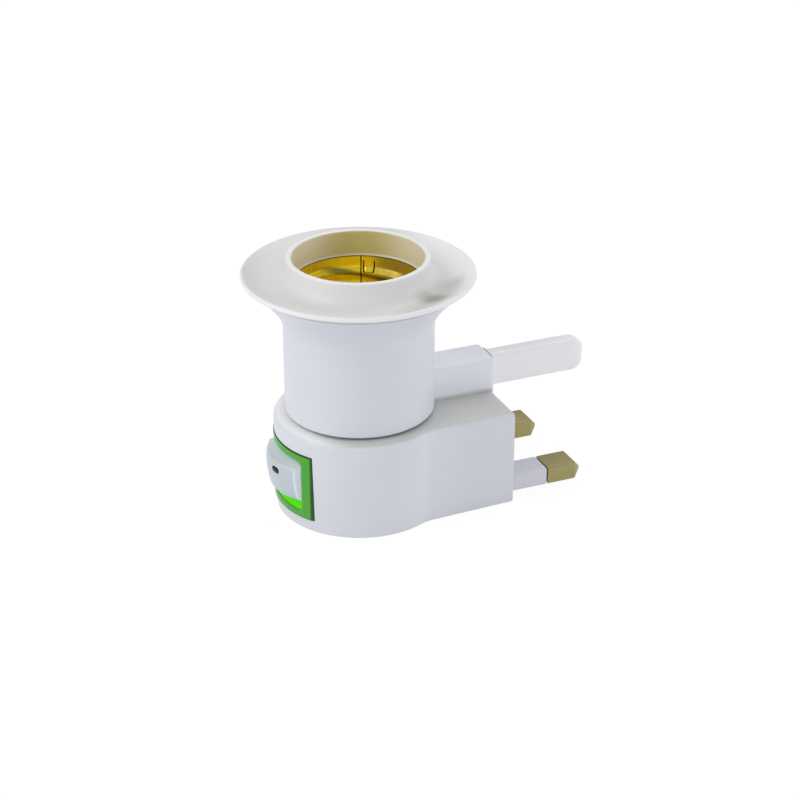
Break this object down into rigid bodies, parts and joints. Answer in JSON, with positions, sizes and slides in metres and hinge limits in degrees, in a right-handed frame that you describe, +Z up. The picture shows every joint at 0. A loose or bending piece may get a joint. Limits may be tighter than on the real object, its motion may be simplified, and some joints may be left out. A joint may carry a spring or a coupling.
{
  "type": "lamp socket adapter",
  "caption": "Switched lamp holder that plugs straight into a wall socket: flanged screw-cap barrel on a keyhole-shaped plug base with a green-framed rocker switch",
  "frame": {"origin": "on the lamp axis, in the flat bottom face of the base", "axes": "+Z up the lamp axis towards the mouth, +X the way the plug pins point, the rocker switch faces -X"},
  "size_m": [0.0782, 0.0496, 0.0578],
  "materials": {
    "housing_plastic": "smooth moulded, softly glossy",
    "barrel_plastic": "smooth moulded, softly glossy",
    "pin_plastic": "slightly translucent, moulded",
    "rocker_plastic": "moulded",
    "green_plastic": "translucent green, moulded",
    "mark_lens": "dark lens",
    "shell_brass": "rolled, bright, lightly tarnished",
    "pin_brass": "olive brass, drawn",
    "plated_steel": "zinc plated",
    "carrier_nylon": "cream nylon",
    "live_insulation": "extruded insulation",
    "neutral_insulation": "extruded insulation"
  },
  "bodies": {
    "adapter": {"base_housing": "housing_plastic", "bottom_cover": "housing_plastic", "cover_screw_1": "plated_steel", "cover_screw_2": "plated_steel", "cover_screw_3": "plated_steel", "cover_screw_4": "plated_steel", "socket_barrel": "barrel_plastic", "barrel_screw_1": "plated_steel", "barrel_screw_2": "plated_steel", "screw_shell": "shell_brass", "contact_carrier": "carrier_nylon", "shell_rivet_1": "shell_brass", "shell_rivet_2": "shell_brass", "centre_rivet": "shell_brass", "centre_contact": "shell_brass", "switch_bezel": "green_plastic", "fulcrum_terminal": "pin_brass", "side_terminal": "pin_brass", "live_pin": "pin_brass", "neutral_pin": "pin_brass", "live_pin_sleeve": "pin_plastic", "neutral_pin_sleeve": "pin_plastic", "clamp_screw_1": "plated_steel", "clamp_screw_2": "plated_steel", "earth_pin": "pin_plastic", "live_wire": "live_insulation", "switched_wire": "live_insulation", "neutral_wire": "neutral_insulation"},
    "rocker": {"switch_rocker": "rocker_plastic", "rocker_mark": "mark_lens", "rocker_plunger": "carrier_nylon", "plunger_spring": "plated_steel"},
    "seesaw": {"seesaw_contact": "pin_brass"}
  },
  "joints": [
    {"name": "rocker_tilt", "type": "hinge", "parent": "adapter", "child": "rocker", "pos_m": [-0.0139, 0, 0.0104], "axis": [0, 1, 0], "range_deg": [0, 16]},
    {"name": "seesaw_tilt", "type": "hinge", "parent": "adapter", "child": "seesaw", "pos_m": [-0.0094, 0, 0.0104], "axis": [0, 1, 0], "range_deg": [-24, 0]}
  ],
  "couplings": [
    {"joint": "seesaw_tilt", "follows": "rocker_tilt", "ratio": -1.5}
  ]
}
